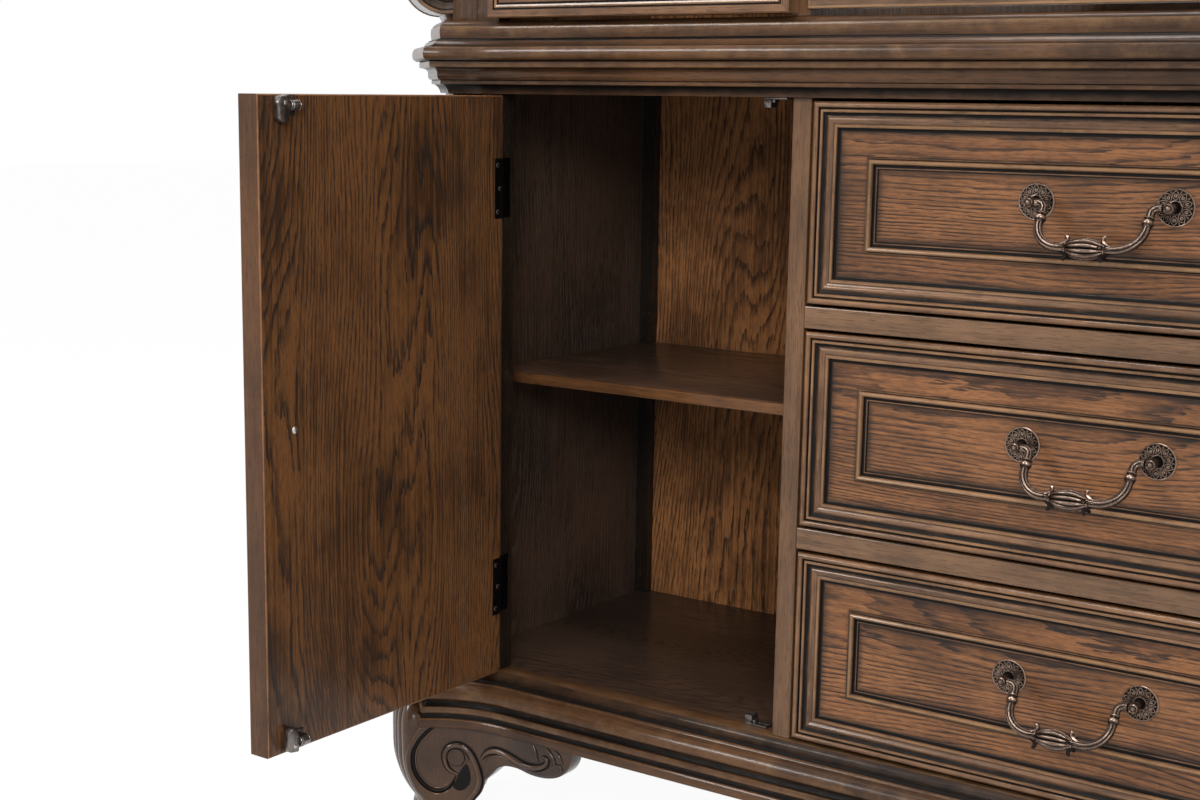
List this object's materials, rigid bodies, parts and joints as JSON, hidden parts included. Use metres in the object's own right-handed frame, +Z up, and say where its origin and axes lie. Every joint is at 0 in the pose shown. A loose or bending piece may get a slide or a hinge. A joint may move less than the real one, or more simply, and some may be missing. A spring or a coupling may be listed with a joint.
{
  "type": "dresser with hutch",
  "caption": "Tall traditional dresser: sideboard base with side doors and centre drawers on scroll feet, and a display hutch with glass doors and shelves above.",
  "frame": {"origin": "foot of the middle leg on the ground, at the middle of the width and of the case depth", "axes": "+X to the viewer's right, the front faces -Y, +Z up"},
  "size_m": [1.6292, 0.7382, 2.097],
  "materials": {
    "oak_veneer": "satin stained oak veneer",
    "moulding_wood": "satin stained wood with dark glaze",
    "dark_wood": "dark satin stain",
    "antique_bronze": "antique bronze",
    "black_metal": "black",
    "clear_glass": "clear",
    "mirror": "silvered"
  },
  "bodies": {
    "case": {"base_sides": "oak_veneer", "base_back": "dark_wood", "base_floor": "dark_wood", "base_ceiling": "dark_wood", "base_dividers": "moulding_wood", "drawer_rails": "moulding_wood", "drawer_runners": "dark_wood", "corner_posts": "oak_veneer", "top_moulding": "moulding_wood", "base_top": "oak_veneer", "apron_moulding": "moulding_wood", "front_feet": "moulding_wood", "foot_wings": "moulding_wood", "rear_feet": "moulding_wood", "middle_leg": "moulding_wood", "base_shelves": "dark_wood", "shelf_pins": "antique_bronze", "corner_cleats": "dark_wood", "base_catches": "black_metal", "hinge_frame_leaves": "black_metal", "hutch_board": "oak_veneer", "hutch_sides": "oak_veneer", "hutch_back": "dark_wood", "hutch_mirror": "mirror", "hutch_dividers": "oak_veneer", "hutch_posts": "oak_veneer", "hutch_rails": "oak_veneer", "hutch_consoles": "moulding_wood", "hutch_top": "dark_wood", "crown_moulding": "moulding_wood", "hutch_shelves": "clear_glass"},
    "left_door": {"left_door_panel": "oak_veneer", "left_door_moulding": "moulding_wood", "left_door_fittings": "black_metal", "left_door_knob": "antique_bronze"},
    "right_door": {"right_door_panel": "oak_veneer", "right_door_moulding": "moulding_wood", "right_door_fittings": "black_metal", "right_door_knob": "antique_bronze"},
    "hutch_left_door": {"hutch_left_door_frame": "oak_veneer", "hutch_left_door_glass": "clear_glass", "hutch_left_door_fittings": "antique_bronze"},
    "hutch_right_door": {"hutch_right_door_frame": "oak_veneer", "hutch_right_door_glass": "clear_glass", "hutch_right_door_fittings": "antique_bronze"},
    "drawer_1": {"drawer_1_front": "oak_veneer", "drawer_1_moulding": "moulding_wood", "drawer_1_box": "dark_wood", "drawer_1_rosettes": "antique_bronze"},
    "bail_1": {"drawer_1_bail": "antique_bronze"},
    "drawer_2": {"drawer_2_front": "oak_veneer", "drawer_2_moulding": "moulding_wood", "drawer_2_box": "dark_wood", "drawer_2_rosettes": "antique_bronze"},
    "bail_2": {"drawer_2_bail": "antique_bronze"},
    "drawer_3": {"drawer_3_front": "oak_veneer", "drawer_3_moulding": "moulding_wood", "drawer_3_box": "dark_wood", "drawer_3_rosettes": "antique_bronze"},
    "bail_3": {"drawer_3_bail": "antique_bronze"}
  },
  "joints": [
    {"name": "left_door_hinge", "type": "hinge", "parent": "case", "child": "left_door", "pos_m": [-0.6386, -0.1982, 0.4925], "axis": [0, 0, -1], "range_deg": [-91, 14]},
    {"name": "right_door_hinge", "type": "hinge", "parent": "case", "child": "right_door", "pos_m": [0.6386, -0.1982, 0.4925], "axis": [0, 0, 1], "range_deg": [0, 105]},
    {"name": "hutch_left_door_hinge", "type": "hinge", "parent": "case", "child": "hutch_left_door", "pos_m": [-0.6386, -0.2062, 1.422], "axis": [0, 0, -1], "range_deg": [0, 105]},
    {"name": "hutch_right_door_hinge", "type": "hinge", "parent": "case", "child": "hutch_right_door", "pos_m": [0.6386, -0.2062, 1.422], "axis": [0, 0, 1], "range_deg": [0, 105]},
    {"name": "drawer_1_slide", "type": "slide", "parent": "case", "child": "drawer_1", "axis": [0, -1, 0], "range_m": [0, 0.28]},
    {"name": "drawer_2_slide", "type": "slide", "parent": "case", "child": "drawer_2", "axis": [0, -1, 0], "range_m": [0, 0.28]},
    {"name": "drawer_3_slide", "type": "slide", "parent": "case", "child": "drawer_3", "axis": [0, -1, 0], "range_m": [0, 0.28]},
    {"name": "bail_1_hinge", "type": "hinge", "parent": "drawer_1", "child": "bail_1", "pos_m": [0, -0.204, 0.28893], "axis": [-1, 0, 0], "range_deg": [0, 85]},
    {"name": "bail_2_hinge", "type": "hinge", "parent": "drawer_2", "child": "bail_2", "pos_m": [0, -0.204, 0.5025], "axis": [-1, 0, 0], "range_deg": [0, 85]},
    {"name": "bail_3_hinge", "type": "hinge", "parent": "drawer_3", "child": "bail_3", "pos_m": [0, -0.204, 0.71607], "axis": [-1, 0, 0], "range_deg": [0, 85]}
  ]
}
